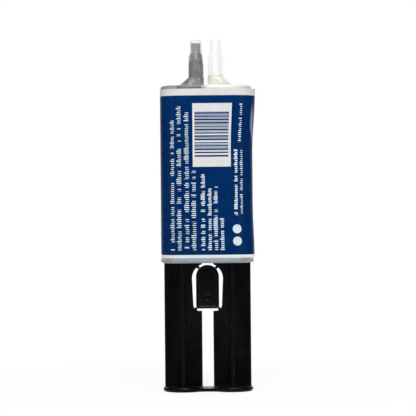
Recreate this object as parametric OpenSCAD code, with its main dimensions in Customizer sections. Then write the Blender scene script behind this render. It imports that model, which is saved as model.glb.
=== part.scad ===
// Two-part adhesive syringe: a twin barrel with two nozzles, a twin-rod plunger whose window
// holds a snap-off reseal stopper, two pistons with seal rings, a wrap-round label and both liquids.
// It stands on its thumb plate: +Z runs from the thumb plate to the nozzle tips, the label's
// printed face looks along -Y, and the resin is in the left barrel, at -X.

/* [Barrels] */
// Distance between the axes of the two bores
bore_pitch = 21; // [20:0.5:23]
// Diameter of each bore
bore_d = 16.6; // [15.8:0.1:17]
// Thickness of each barrel's wall
barrel_wall = 0.8; // [0.6:0.1:1.2]
// Length from the flange's underside to the top of the end wall
barrel_l = 76; // [72:1:90]
// Thickness of the wall that closes both bores
end_wall = 1.2; // [0.9:0.1:1.6]
// Height of the solid rim that joins the barrels at the end wall
rim_h = 3; // [2:0.5:6]
// Rounding of the rim's top edge
rim_round = 1.1; // [0.5:0.1:1.2]
// Thickness of the web between the barrels
web_t = 1.2; // [0.8:0.1:2]

/* [Finger flange] */
// How far the flange stands out beyond the barrels at either side
flange_lip = 0.4; // [0.3:0.1:3.4]
// Depth of the flange between its two flats
flange_depth = 28; // [22:1:34]
// Thickness of the flange
flange_t = 1.9; // [1.6:0.1:3.2]
// Bevel along the flange's edges
flange_bevel = 0.5; // [0.2:0.1:0.8]

/* [Nozzles] */
// Distance between the axes of the two nozzles
nozzle_pitch = 8.4; // [8:0.1:9]
// Diameter of a nozzle's straight body
nozzle_d = 6.5; // [6:0.1:6.8]
// Length of a nozzle above its shoulder
nozzle_l = 15.9; // [14:0.1:20]
// Height of the conical shoulder
shoulder_h = 3.8; // [3:0.1:5]
// Diameter of the shoulder at its foot
shoulder_d = 15.2; // [13:0.1:15.4]
// Gap between the two shoulders
shoulder_gap = 1.6; // [1:0.1:1.7]
// Diameter of the hollow neck that a cap snaps into
neck_d = 6.1; // [5.8:0.05:6.4]
// Length of that neck
neck_l = 2.2; // [1.5:0.1:3]
// Length of the cone between the neck and the tip
step_l = 2.1; // [1.5:0.1:3]
// Length of the slim tip
tip_l = 5.7; // [3:0.1:6]
// Diameter of the tip where it starts
tip_base_d = 5.3; // [4.9:0.1:5.6]
// Diameter of the tip at its end
tip_d = 4.6; // [4.4:0.1:5]
// Diameter of the way through a nozzle
nozzle_bore_d = 4.2; // [4.1:0.05:4.4]
// Diameter of the outlet at the tip
outlet_d = 2.7; // [2.4:0.1:2.8]

/* [Plunger] */
// Length of the rods that shows between thumb plate and flange
drawn_l = 53.2; // [48:0.2:58]
// Thickness of the thumb plate's two round pads
plate_t = 2.2; // [1.8:0.1:3]
// Diameter of each round pad
pad_d = 17.7; // [16.8:0.1:18.2]
// Thickness of the waist that joins the pads
waist_t = 1.4; // [1.1:0.1:1.7]
// Height of the waist's underside above that of the pads
waist_lift = 0.15; // [0.1:0.05:0.4]
// Depth of the waist at its narrowest
waist_depth = 11; // [8:0.5:13]
// Radius of the waist's hollow sides
waist_r = 14; // [13:0.5:20]
// Clearance of a rod in its bore
rod_gap = 0.2; // [0.15:0.05:0.4]
// Thickness of a rod's wide web
rod_web_t = 1.6; // [1.2:0.1:2.2]
// Thickness of the rib that crosses the web
rod_rib_t = 1.5; // [1.2:0.1:2.2]
// Diameter of the round pad on each rib's front edge
nub_d = 2.6; // [2:0.1:3.2]
// Height of that pad above the thumb plate's underside
nub_z = 28; // [20:0.5:31]

/* [Stopper and window] */
// Width of the window cut through the two webs, at its arch
window_w = 13.3; // [13:0.1:14.5]
// Distance from the flange down to the centre of the window's arch
arch_drop = 7; // [6.6:0.1:7.4]
// Distance from that centre down to the window's lower edge
window_leg = 13.9; // [13:0.1:15]
// How far each side of the window leans in from its arch to its lower corner
window_lean = 0.5; // [0:0.05:0.6]
// Rounding of the window's lower corners
window_corner = 2.7; // [1.8:0.1:2.9]
// Width of the stopper
stopper_w = 9.9; // [9:0.1:10.2]
// How far the centre of the stopper's dome stands above that of the arch
dome_rise = 0.9; // [0.2:0.1:1]
// Gap between the stopper's lower end and the window's lower edge
stopper_rise = 1; // [0.8:0.1:2]
// Thickness of the stopper
stopper_t = 3; // [2.4:0.1:3.2]
// Rounding of the stopper's front edge
stopper_edge = 1.1; // [0.4:0.1:1.2]
// Rounding of the stopper's lower corners
stopper_corner = 1.3; // [1.25:0.05:2]
// Diameter of the thumb dimple in the stopper's front
dimple_d = 3.6; // [2.5:0.1:4.5]
// Depth of that dimple
dimple_deep = 0.35; // [0.2:0.05:0.6]
// Length of the two plugs on the stopper's back
plug_l = 4; // [3:0.1:5]
// Width of the four break-off tabs
tab_w = 1.15; // [0.6:0.05:1.2]

/* [Pistons and seals] */
// Height of a piston
piston_h = 8; // [7:0.5:10]
// Clearance of a piston in its bore
piston_gap = 0.2; // [0.15:0.05:0.3]
// Thickness of a seal ring
ring_d = 2; // [1.6:0.1:2.4]
// Clearance of a seal ring in its bore
ring_gap = 0.1; // [0.08:0.01:0.15]
// Thickness of the disc that carries a piston
seat_t = 1.5; // [1.2:0.1:2]
// Diameter of the stud that a piston snaps onto
stud_d = 5; // [4:0.1:6]
// Length of that stud
stud_l = 4.5; // [4:0.1:5]
// How far the stud's head stands out
stud_lip = 0.5; // [0.3:0.05:0.8]

/* [Label] */
// Thickness of the label
label_t = 0.2; // [0.1:0.05:0.4]
// Height of the label
label_h = 72.4; // [60:0.2:72.6]
// Gap between the flange and the label's lower edge
label_lift = 0.1; // [0:0.1:1]
// Width of the overlap where the label closes at the back
overlap_w = 6; // [3:0.5:10]

/* [Liquids] */
// Height of the resin's surface below the left nozzle's tip
resin_drop = 1.5; // [0.5:0.1:6]
// Height of the hardener's surface above the right nozzle's foot
hardener_rise = 0.5; // [0.3:0.1:14]

/* [Hidden] */
$fn = 96;
arc_steps = 8;

// Room left at the end of the plunger's stroke, at the flange and at the end wall
stop_gap = 0.7;
end_gap = 0.3;
// Hairline gap at a tab's broken end
tab_gap = 0.06;
// Gap between label and barrels, between liquid and wall, and round the pieces that snap together
skin_gap = 0.05;
liquid_gap = 0.1;
seat_gap = 0.1;
// Sunk length where a small piece joins a larger one
root_l = 0.3;
// Length by which a cut runs past the face that it opens
overrun = 0.5;
// Taper of a reseal plug from its root to its tip
plug_taper = 0.3;
// Fit of a reseal plug in the outlet, at the plug's root
plug_squeeze = 0.1;
// Depth of the rib's round pad below the rib's crest
nub_sink = 0.15;
// Bevel at a piston's and a stud's ends
small_bevel = 0.4;

bore_r = bore_d / 2;
bore_x = bore_pitch / 2;
barrel_r = bore_r + barrel_wall;
nozzle_x = nozzle_pitch / 2;
nozzle_r = nozzle_d / 2;
neck_r = neck_d / 2;
tip_base_r = tip_base_d / 2;
tip_r = tip_d / 2;
nozzle_bore_r = nozzle_bore_d / 2;
outlet_r = outlet_d / 2;
shoulder_r = shoulder_d / 2;
body_l = nozzle_l - tip_l - step_l - neck_l;

flange_r = bore_x + barrel_r + flange_lip;
flange_z = plate_t + drawn_l;
end_z = flange_z + barrel_l;
bore_end_z = end_z - end_wall;
nozzle_z = end_z + shoulder_h;
tip_z = nozzle_z + nozzle_l;
// The funnel under each nozzle follows the shoulder's slope, one end wall lower
funnel_h = shoulder_h * (shoulder_r - nozzle_bore_r) / (shoulder_r - nozzle_r);

stroke = drawn_l - stop_gap;
piston_top = bore_end_z - end_gap - stroke;
piston_low = piston_top - piston_h;
seat_low = piston_low - seat_t;
rod_r = bore_r - rod_gap;
piston_r = bore_r - piston_gap;
ring_r = ring_d / 2;
ring_x = bore_r - ring_gap - ring_r;
ring_z = piston_low + piston_h / 2;
stud_r = stud_d / 2;

pad_r = pad_d / 2;
window_r = window_w / 2;
stopper_r = stopper_w / 2;
arch_z = flange_z - arch_drop;
dome_z = arch_z + dome_rise;
window_low = arch_z - window_leg;
window_foot_r = window_r - window_lean;
stopper_low = window_low + stopper_rise;
plug_root_r = outlet_r + plug_squeeze;
dimple_r = dimple_d / 2;
dimple_ball_r = (dimple_r * dimple_r + dimple_deep * dimple_deep) / (2 * dimple_deep);

label_in = barrel_r + skin_gap;
label_out = label_in + label_t;
label_z = flange_z + flange_t + label_lift;

// Points of a quarter arc that ends the corner at (x, y), from its right side to its top
function round_corner(x, y, r) = [
    for (i = [0 : arc_steps])
        let (a = 90 * i / arc_steps)
        [x - r + r * cos(a), y - r + r * sin(a)]
];

// Half of a slab's section: flat below, with the outer top edge rounded
function slab_half(w, t, r) = concat([[0, 0], [w, 0]], round_corner(w, t, r), [[0, t]]);

// The same section mirrored about its middle
function slab_whole(w, t, r) = let (edge = concat([[w, 0]], round_corner(w, t, r)))
    concat(edge, [for (i = [len(edge) - 1 : -1 : 0]) [-edge[i][0], edge[i][1]]]);

// Section of a plate of half width w and thickness t with all its edges bevelled
function bevelled(w, t, b) = [
    [-w, b], [b - w, 0], [w - b, 0], [w, b], [w, t - b], [w - b, t], [b - w, t], [-w, t - b]
];

// Section of a bar along x with full-round ends: half length w, half thickness r
function round_bar(w, r) = [
    for (side = [1, -1], i = [-arc_steps : arc_steps])
        let (a = 90 * i / arc_steps)
        side * [w - r + r * cos(a), r * sin(a)]
];

// Draws its section in the YZ plane and runs it along X over the given length, centred
module along_x(length) {
    translate([-length / 2, 0, 0])
        rotate([90, 0, 90])
            linear_extrude(length)
                children();
}

// Places a copy at each bore
module at_bores() {
    for (side = [-1, 1])
        translate([side * bore_x, 0, 0])
            children();
}

// Outline of the window in the plane of the webs: an arch, sides that lean in and rounded lower corners
module window_outline() {
    corner_x = window_foot_r - window_corner;
    corner_z = window_low + window_corner;
    intersection() {
        translate([0, arch_z])
            circle(window_r);
        translate([-window_w, arch_z])
            square([2 * window_w, window_w]);
    }
    polygon([
        [window_r, arch_z], [-window_r, arch_z], [-window_foot_r, corner_z], [window_foot_r, corner_z]
    ]);
    translate([-corner_x, window_low])
        square([2 * corner_x, window_corner]);
    for (side = [-1, 1])
        intersection() {
            translate([side * corner_x, corner_z])
                circle(window_corner);
            translate([side * (corner_x + window_corner / 2) - window_corner / 2, window_low])
                square(window_corner);
        }
}

// Solid rim in the form of a racetrack, with its top edge rounded
module end_rim() {
    translate([0, 0, end_z - rim_h]) {
        for (side = [-1, 1])
            translate([side * bore_x, 0, 0])
                rotate([0, 0, -90 * side])
                    rotate_extrude(angle = 180)
                        polygon(slab_half(barrel_r, rim_h, rim_round));
        along_x(bore_pitch)
            polygon(slab_whole(barrel_r, rim_h, rim_round));
    }
}

// Disc with two flats, so that fingers reach over it in front and behind
module finger_flange() {
    translate([0, 0, flange_z])
        intersection() {
            rotate_extrude()
                polygon([
                    [0, 0], [flange_r - flange_bevel, 0], [flange_r, flange_bevel],
                    [flange_r, flange_t - flange_bevel], [flange_r - flange_bevel, flange_t],
                    [0, flange_t]
                ]);
            along_x(2 * flange_r + overrun)
                polygon(bevelled(flange_depth / 2, flange_t, flange_bevel));
        }
}

// Shoulder and nozzle in one turned form, with the side next to the other shoulder cut flat
module nozzle(side) {
    neck_z = shoulder_h + body_l;
    intersection() {
        translate([side * nozzle_x, 0, end_z])
            rotate_extrude()
                polygon(concat(
                    [[0, 0], [shoulder_r, 0], [nozzle_r, shoulder_h]],
                    [
                        for (i = [0 : arc_steps])
                            let (share = i / arc_steps)
                            [nozzle_r - (nozzle_r - neck_r) * sin(180 * share), neck_z + neck_l * share]
                    ],
                    [
                        [tip_base_r, neck_z + neck_l + step_l],
                        [tip_r, shoulder_h + nozzle_l],
                        [0, shoulder_h + nozzle_l]
                    ]
                ));
        translate([side * (shoulder_gap / 2 + shoulder_d), 0, tip_z - barrel_l / 2])
            cube([2 * shoulder_d, 2 * shoulder_d, barrel_l], center = true);
    }
}

// Funnel and nozzle way of one side, up to the height top and with its walls drawn in by gap
module nozzle_way(side, low, top, gap) {
    // The nozzle way is wider than what the bore leaves beside it, so it starts inside the end wall
    way_low = end_wall / 2 + gap;
    intersection() {
        translate([side * nozzle_x, 0, bore_end_z])
            rotate_extrude()
                polygon([
                    [0, low], [shoulder_r - gap, low], [shoulder_r - gap, 0],
                    [nozzle_bore_r - gap, funnel_h], [0, funnel_h]
                ]);
        translate([side * bore_x, 0, bore_end_z + low])
            cylinder(h = funnel_h - low, r = bore_r - liquid_gap - gap);
    }
    intersection() {
        translate([side * nozzle_x, 0, bore_end_z])
            rotate_extrude()
                polygon([
                    [0, way_low], [nozzle_bore_r - gap, way_low],
                    [nozzle_bore_r - gap, nozzle_z + body_l - bore_end_z],
                    [outlet_r - gap, tip_z - tip_l - bore_end_z],
                    [outlet_r - gap, tip_z + overrun - bore_end_z], [0, tip_z + overrun - bore_end_z]
                ]);
        translate([side * nozzle_x, 0, top - barrel_l / 2])
            cube([bore_d, bore_d, barrel_l], center = true);
    }
}

// All the room for the liquid on one side: bore, funnel and nozzle way
module liquid_way(side) {
    translate([side * bore_x, 0, flange_z - overrun])
        cylinder(h = bore_end_z - flange_z + overrun, r = bore_r);
    nozzle_way(side, -overrun, tip_z + overrun, 0);
}

// Barrels, end wall, nozzles and finger flange, moulded in one piece
module twin_barrel() {
    color("gainsboro", 0.6)
        difference() {
            union() {
                at_bores()
                    translate([0, 0, flange_z])
                        cylinder(h = barrel_l - rim_h, r = barrel_r);
                translate([-bore_x, -web_t / 2, flange_z])
                    cube([bore_pitch, web_t, barrel_l - rim_h]);
                end_rim();
                finger_flange();
                for (side = [-1, 1])
                    nozzle(side);
            }
            for (side = [-1, 1])
                liquid_way(side);
        }
}

// Sleeve round both barrels: flat in front and behind, round at the sides, lapped at the back
module label_sleeve() {
    color("navy")
        translate([0, 0, label_z]) {
            for (side = [-1, 1])
                translate([side * bore_x, 0, 0])
                    rotate([0, 0, -90 * side])
                        rotate_extrude(angle = 180)
                            translate([label_in, 0])
                                square([label_t, label_h]);
            for (face = [-1, 1])
                translate([-bore_x, face * (label_in + label_t / 2) - label_t / 2, 0])
                    cube([bore_pitch, label_t, label_h]);
            translate([-overlap_w / 2, label_out, 0])
                cube([overlap_w, label_t, label_h]);
        }
}

// Two round thumb pads with full-round edges, and the hollow-sided waist between them
module thumb_plate() {
    at_bores()
        translate([0, 0, plate_t / 2])
            rotate_extrude()
                polygon(concat(
                    [[0, -plate_t / 2]],
                    [
                        for (i = [-arc_steps : arc_steps])
                            let (a = 90 * i / arc_steps)
                            [pad_r + plate_t / 2 * (cos(a) - 1), plate_t / 2 * sin(a)]
                    ],
                    [[0, plate_t / 2]]
                ));
    translate([0, 0, waist_lift])
        linear_extrude(waist_t)
            difference() {
                square([bore_pitch - pad_r, pad_d], center = true);
                for (face = [-1, 1])
                    translate([0, face * (waist_depth / 2 + waist_r)])
                        circle(waist_r);
            }
}

// Stud that a piston snaps onto, with its walls drawn out by gap
module stud(gap) {
    rotate_extrude()
        polygon([
            [0, -root_l],
            [stud_r + gap, -root_l],
            [stud_r + gap, stud_l / 2 - gap],
            [stud_r + stud_lip + gap, stud_l / 2 + stud_lip - gap],
            [stud_r + stud_lip + gap, stud_l - small_bevel + gap],
            [stud_r + stud_lip - small_bevel + gap, stud_l + gap],
            [0, stud_l + gap]
        ]);
}

// One rod: wide web, cross rib with its pad, and the disc and stud that carry a piston
module rod() {
    rod_low = plate_t - root_l;
    translate([0, 0, rod_low])
        linear_extrude(seat_low - rod_low) {
            polygon(round_bar(rod_r, rod_web_t / 2));
            rotate(90)
                polygon(round_bar(rod_r, rod_rib_t / 2));
        }
    translate([0, 0, nub_z])
        rotate([90, 0, 0])
            cylinder(h = rod_r - nub_sink, d = nub_d);
    translate([0, 0, seat_low])
        cylinder(h = seat_t, r = rod_r);
    translate([0, 0, piston_low])
        stud(0);
}

// Break-off tab that leaves the stopper at the given angle and roots in the window's edge
module tab(turn, start, length) {
    rotate([0, turn, 0])
        translate([-tab_w / 2, -tab_w / 2, start + tab_gap])
            cube([tab_w, tab_w, length - start - tab_gap + root_l]);
}

// Two tabs at the dome and two at the lower corners, all on the diagonal
module tabs() {
    inset = stopper_r - stopper_corner;
    corner_z = stopper_low + stopper_corner;
    window_x = window_foot_r - window_corner;
    window_z = window_low + window_corner;
    corner_reach = (window_x - inset + corner_z - window_z) * sin(45) + window_corner;
    // The arch is centred lower than the dome, so the dome's tabs are shorter than the arch's radius
    rise_share = dome_rise * sin(45);
    arch_reach = sqrt(window_r * window_r - rise_share * rise_share) - rise_share;
    for (side = [-1, 1]) {
        translate([0, 0, dome_z])
            tab(45 * side, stopper_r, arch_reach);
        translate([side * inset, 0, corner_z])
            tab(135 * side, stopper_corner, corner_reach);
    }
}

// Both rods on one thumb plate, with the stopper's window cut through their webs
module plunger() {
    color([0.06, 0.06, 0.065]) {
        difference() {
            union() {
                thumb_plate();
                at_bores()
                    rod();
            }
            translate([0, rod_web_t / 2 + overrun, 0])
                rotate([90, 0, 0])
                    linear_extrude(rod_web_t + 2 * overrun)
                        window_outline();
        }
        tabs();
    }
}

// Bullet-shaped stopper with a rounded front edge, a thumb dimple, and two plugs at the nozzles' pitch
module reseal_stopper() {
    inset = stopper_r - stopper_corner;
    corner_z = stopper_low + stopper_corner;
    dimple_z = dome_z - nozzle_pitch;
    color([0.05, 0.05, 0.055])
        translate([0, stopper_t / 2, 0])
            rotate([90, 0, 0]) {
                difference() {
                    union() {
                        translate([0, dome_z, 0])
                            rotate_extrude(angle = 180)
                                polygon(slab_half(stopper_r, stopper_t, stopper_edge));
                        translate([0, dome_z, 0])
                            rotate([90, 0, 0])
                                linear_extrude(dome_z - corner_z)
                                    polygon(slab_whole(stopper_r, stopper_t, stopper_edge));
                        translate([inset, corner_z, 0])
                            rotate([90, 0, -90])
                                linear_extrude(2 * inset)
                                    polygon(slab_half(stopper_corner, stopper_t, stopper_edge));
                        for (turn = [[inset, -90], [-inset, 180]])
                            translate([turn[0], corner_z, 0])
                                rotate([0, 0, turn[1]])
                                    rotate_extrude(angle = 90)
                                        polygon(slab_half(stopper_corner, stopper_t, stopper_edge));
                    }
                    translate([0, dimple_z, stopper_t - dimple_deep + dimple_ball_r])
                        sphere(dimple_ball_r);
                }
                for (plug_z = [dimple_z, dome_z])
                    translate([0, plug_z, root_l])
                        rotate([180, 0, 0])
                            cylinder(h = plug_l + root_l, r1 = plug_root_r, r2 = plug_root_r - plug_taper);
            }
}

// Piston with a groove for its seal ring and a socket for the rod's stud
module piston(side) {
    groove_r = ring_x - ring_r - skin_gap;
    groove_half = ring_r + skin_gap;
    groove_z = piston_h / 2;
    color("whitesmoke")
        translate([side * bore_x, 0, piston_low])
            difference() {
                rotate_extrude()
                    polygon([
                        [0, 0],
                        [piston_r - small_bevel, 0],
                        [piston_r, small_bevel],
                        [piston_r, groove_z - groove_half],
                        [groove_r, groove_z - groove_half],
                        [groove_r, groove_z + groove_half],
                        [piston_r, groove_z + groove_half],
                        [piston_r, piston_h - small_bevel],
                        [piston_r - small_bevel, piston_h],
                        [0, piston_h]
                    ]);
                stud(seat_gap);
            }
}

module left_piston() {
    piston(-1);
}

module right_piston() {
    piston(1);
}

// Seal ring in a piston's groove
module seal_ring(side) {
    color([0.16, 0.14, 0.13])
        translate([side * bore_x, 0, ring_z])
            rotate_extrude()
                translate([ring_x, 0])
                    circle(ring_r);
}

module left_seal_ring() {
    seal_ring(-1);
}

module right_seal_ring() {
    seal_ring(1);
}

// Liquid in one bore, between the piston and the end wall
module charge(side) {
    translate([side * bore_x, 0, piston_top])
        cylinder(h = bore_end_z - piston_top, r = bore_r - liquid_gap);
}

module resin_charge() {
    color([0.45, 0.47, 0.48])
        charge(-1);
}

module hardener_charge() {
    color([0.93, 0.92, 0.84])
        charge(1);
}

module resin_in_nozzle() {
    color([0.45, 0.47, 0.48])
        nozzle_way(-1, 0, tip_z - resin_drop, liquid_gap);
}

module hardener_in_nozzle() {
    color([0.93, 0.92, 0.84])
        nozzle_way(1, 0, nozzle_z + hardener_rise, liquid_gap);
}

twin_barrel();
label_sleeve();
plunger();
reseal_stopper();
left_piston();
right_piston();
left_seal_ring();
right_seal_ring();
resin_charge();
hardener_charge();
resin_in_nozzle();
hardener_in_nozzle();
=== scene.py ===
"""Finishes a twin-barrel adhesive syringe: label, liquids, plastics and a white studio stage."""

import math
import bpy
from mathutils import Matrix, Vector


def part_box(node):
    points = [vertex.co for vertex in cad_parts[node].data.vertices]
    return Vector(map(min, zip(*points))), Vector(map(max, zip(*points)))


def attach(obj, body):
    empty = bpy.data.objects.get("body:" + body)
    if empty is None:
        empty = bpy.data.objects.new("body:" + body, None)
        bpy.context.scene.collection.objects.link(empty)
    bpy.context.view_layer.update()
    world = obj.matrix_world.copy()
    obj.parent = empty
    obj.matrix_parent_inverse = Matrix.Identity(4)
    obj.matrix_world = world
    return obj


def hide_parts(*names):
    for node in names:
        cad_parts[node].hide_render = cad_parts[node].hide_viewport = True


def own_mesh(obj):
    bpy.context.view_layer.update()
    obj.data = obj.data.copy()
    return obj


bl_info = {
    "name": "Twin Syringe Finish",
    "version": (1, 0, 0),
    "blender": (4, 5, 0),
    "location": "View3D > Sidebar > Syringe",
    "description": "Dresses a twin-barrel adhesive syringe and sets a white studio stage round it",
    "category": "Object",
}

import bpy
from mathutils import Vector

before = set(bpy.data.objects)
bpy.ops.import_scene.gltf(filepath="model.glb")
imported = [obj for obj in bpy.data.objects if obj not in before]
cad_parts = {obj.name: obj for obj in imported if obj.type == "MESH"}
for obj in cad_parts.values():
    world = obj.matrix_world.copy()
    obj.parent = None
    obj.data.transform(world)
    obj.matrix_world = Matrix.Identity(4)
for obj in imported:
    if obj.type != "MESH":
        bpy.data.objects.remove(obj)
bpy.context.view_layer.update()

MM = 0.001
PRINT_MAP = "print"

# The label's own box gives the barrels' spacing, the sleeve's radius and the film's thickness
LABEL_LOW, LABEL_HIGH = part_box("label_sleeve")
SLEEVE_R = -LABEL_LOW.y
BORE_X = LABEL_HIGH.x - SLEEVE_R
FILM_T = LABEL_HIGH.y - SLEEVE_R

# The liquids' boxes give the end wall, the pistons' rest place and how far the right nozzle is filled
CHARGE_LOW, CHARGE_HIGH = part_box("resin_charge")
CHARGE_R = (CHARGE_HIGH.y - CHARGE_LOW.y) / 2
FILLED_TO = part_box("hardener_in_nozzle")[1].z

# The label stands on the flange, the end wall closes the bores, and the rods stand on the thumb plate
END_WALL = 1.2 * MM
PLATE_T = 2.2 * MM
FLANGE_TOP = LABEL_LOW.z
END_TOP = CHARGE_HIGH.z + END_WALL
SIDES = {"resin": -1, "hardener": 1}

# Placeholder print, in mm: each row has its place across the face, its start and end above the label's
# lower edge, the height of its strokes, and how much of each stroke's pitch is inked
PRINT_ROWS = (
    (-14.7, 3.2, 59.3, 2.3, 0.32),
    (-11.7, 3.2, 64.9, 2.4, 0.32),
    (-8.4, 3.2, 62.7, 2.4, 0.32),
    (-5.4, 3.2, 37.3, 2.4, 0.32),
    (-1.5, 3.2, 36.0, 2.1, 0.45),
    (1.3, 3.2, 30.0, 2.1, 0.5),
    (3.9, 3.2, 30.9, 2.1, 0.45),
    (6.6, 3.2, 17.1, 2.1, 0.45),
    (12.6, 18.3, 46.4, 1.8, 0.6),
    (15.1, 18.8, 46.4, 1.5, 0.36),
    (14.3, 49.4, 66.2, 1.5, 0.3),
)
STROKE_PITCH = 0.86
GROUP_PITCH = 1.3

# Bar panel and dots, in mm, across the face and above the label's lower edge
PANEL_ACROSS = (-5.85, 10.4)
PANEL_ALONG = (39.0, 66.15)
BARS_ACROSS = (-5.0, 9.4)
BARS_ALONG = (42.9, 62.6)
BOLD_PITCH = 1.4
FINE_PITCH = 0.47
DOT_ACROSS = 12.8
DOTS_ALONG = (7.2, 12.4)
DOT_R = 1.9

# Soft boxes, in metres: place, then width and height
SOFT_BOXES = {
    "key": ((0.05, -0.8, 0.95), (0.6, 0.5)),
    "left": ((-0.9, -0.5, 0.3), (0.5, 0.8)),
    "right": ((0.8, -0.75, 0.3), (0.5, 0.8)),
    "top": ((0.0, 0.1, 0.95), (0.7, 0.7)),
}
WHITE = (1.0, 1.0, 1.0)


class Wire:
    """A shader socket in Python arithmetic: every operation on it adds a Math node."""

    def __init__(self, tree, socket=None):
        self.tree = tree
        self.socket = socket

    def node(self, kind, settings=None, sockets=None, output=0):
        """Adds a node, sets it, then gives its sockets their values or links, and returns one output."""
        made = self.tree.nodes.new(kind)
        for name, value in (settings or {}).items():
            setattr(made, name, value)
        for name, value in (sockets or {}).items():
            if isinstance(value, Wire):
                self.tree.links.new(value.socket, made.inputs[name])
            else:
                made.inputs[name].default_value = value
        return Wire(self.tree, made.outputs[output])

    def beside(self, output):
        """Another output of the same node."""
        return Wire(self.tree, self.socket.node.outputs[output])

    def math(self, operation, *values):
        return self.node("ShaderNodeMath", {"operation": operation}, dict(enumerate(values)))

    def __add__(self, other):
        return self.math("ADD", self, other)

    def __radd__(self, other):
        return self.math("ADD", other, self)

    def __sub__(self, other):
        return self.math("SUBTRACT", self, other)

    def __rsub__(self, other):
        return self.math("SUBTRACT", other, self)

    def __mul__(self, other):
        return self.math("MULTIPLY", self, other)

    def __rmul__(self, other):
        return self.math("MULTIPLY", other, self)

    def __truediv__(self, other):
        return self.math("DIVIDE", self, other)

    def __gt__(self, other):
        return self.math("GREATER_THAN", self, other)

    def __lt__(self, other):
        return self.math("LESS_THAN", self, other)

    def __abs__(self):
        return self.math("ABSOLUTE", self)

    def floor(self):
        return self.math("FLOOR", self)

    def fraction(self):
        return self.math("FRACT", self)

    def either(self, other):
        return self.math("MAXIMUM", self, other)

    def within(self, low, high):
        return (self > low) * (self < high)

    def rise(self, low, high):
        """Zero below low, one above high, and smooth between them."""
        settings = {"interpolation_type": "SMOOTHSTEP"}
        return self.node("ShaderNodeMapRange", settings, {"Value": self, "From Min": low, "From Max": high})

    def feed(self, shader, socket):
        self.tree.links.new(self.socket, shader.inputs[socket])


def mixed(share, *colours):
    """Colour that goes from the first to the second as share goes from zero to one."""
    first, second = (colour if isinstance(colour, Wire) else (*colour, 1.0) for colour in colours)
    return share.node("ShaderNodeMix", {"data_type": "RGBA"}, {0: share, 6: first, 7: second}, output=2)


def new_finish(name, **sockets):
    """A material whose even values are set on its shader, with the wire that starts its nodes."""
    material = bpy.data.materials.new(name)
    material.use_nodes = True
    shader = material.node_tree.nodes["Principled BSDF"]
    for socket, value in sockets.items():
        shader.inputs[socket.replace("_", " ")].default_value = value
    return material, shader, Wire(material.node_tree)


def place_of(root, stretch=(1, 1, 1)):
    """Object coordinates in millimetres, stretched along each axis."""
    where = root.node("ShaderNodeTexCoord", output="Object")
    scale = tuple(share / MM for share in stretch)
    return root.node("ShaderNodeMapping", {"vector_type": "POINT"}, {"Vector": where, "Scale": scale})


def cloud(root, where, size, detail=3.0):
    """Soft noise from zero to one, with lumps of about the given size in millimetres."""
    sockets = {"Vector": where, "Scale": 1 / size, "Detail": detail}
    return root.node("ShaderNodeTexNoise", {"noise_dimensions": "3D"}, sockets)


def bumped(root, height, strength, depth):
    """A normal that follows the relief of a height pattern."""
    sockets = {"Height": height, "Strength": strength, "Distance": depth}
    return root.node("ShaderNodeBump", None, sockets)


def overlaid(material, shader, share, other):
    """Shows another shader over the material's own by a share."""
    own = Wire(material.node_tree, shader.outputs[0])
    both = own.node("ShaderNodeMixShader", None, {0: share, 1: own, 2: other})
    both.feed(material.node_tree.nodes["Material Output"], "Surface")


def passed(height, level, below, above):
    """Zero under a level and one over it, blended from below it to above it by these millimetres."""
    return height.rise(level / MM - below, level / MM + above)


def black_moulding(look, name, gloss):
    """Black moulded plastic: cloudy gloss, fine grain, and pale scuffs along the stroke."""
    along_stroke = (2.2, 2.2, 0.06)
    scuff_tint, lump_tint = 0.35, 0.3
    smooth, lump_rough, scuff_rough, grain_rough = 0.19, 0.1, 0.12, 0.05
    scuff_height = 0.4
    material, shader, root = new_finish(name, Specular_IOR_Level=gloss)
    where = place_of(root)
    lumps = cloud(root, where, size=6)
    grain = cloud(root, where, size=0.16, detail=2.0)
    scuffs = cloud(root, place_of(root, along_stroke), size=0.6, detail=4.0).rise(0.62, 0.74)
    worn = scuffs * scuff_tint + lumps.rise(0.35, 0.75) * lump_tint
    mixed(worn, look.black, look.black_worn).feed(shader, "Base Color")
    roughness = smooth + lumps * lump_rough + scuffs * scuff_rough + grain * grain_rough
    roughness.feed(shader, "Roughness")
    bumped(root, grain + scuffs * scuff_height, strength=0.18, depth=0.05 * MM).feed(shader, "Normal")
    return material


def rim_tint(look, spot, height, hardener_side):
    """What shows through the end rim: resin, darker in front of its funnel, and pale hardener."""
    place, reach, blend = 7.2, 5.5, 0.6
    off_funnel = abs(abs(spot) - place).rise(reach - blend, reach)
    on_rim = 1 - passed(height, END_TOP, below=0.3, above=-0.1)
    resin = mixed((1 - off_funnel) * on_rim, look.rim_resin, look.funnel_resin)
    return mixed(hardener_side, resin, look.rim_hardener)


def painted_funnel_shade(spot, height):
    """Painted shade: a soft dark line where the funnel's edge shows through the hardener's shoulder, a peak
    with a faint inner arm.
    """
    place, drop, half_width = 4.2, 1.8, 0.42
    inner_arm, blend = 0.35, 0.8
    outward = spot - place
    off_shade_line = abs(height + abs(outward) - (FILLED_TO / MM - drop))
    arms = inner_arm + (1 - inner_arm) * outward.rise(-blend, 0)
    return (1 - off_shade_line.rise(0, half_width)) * arms


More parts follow.
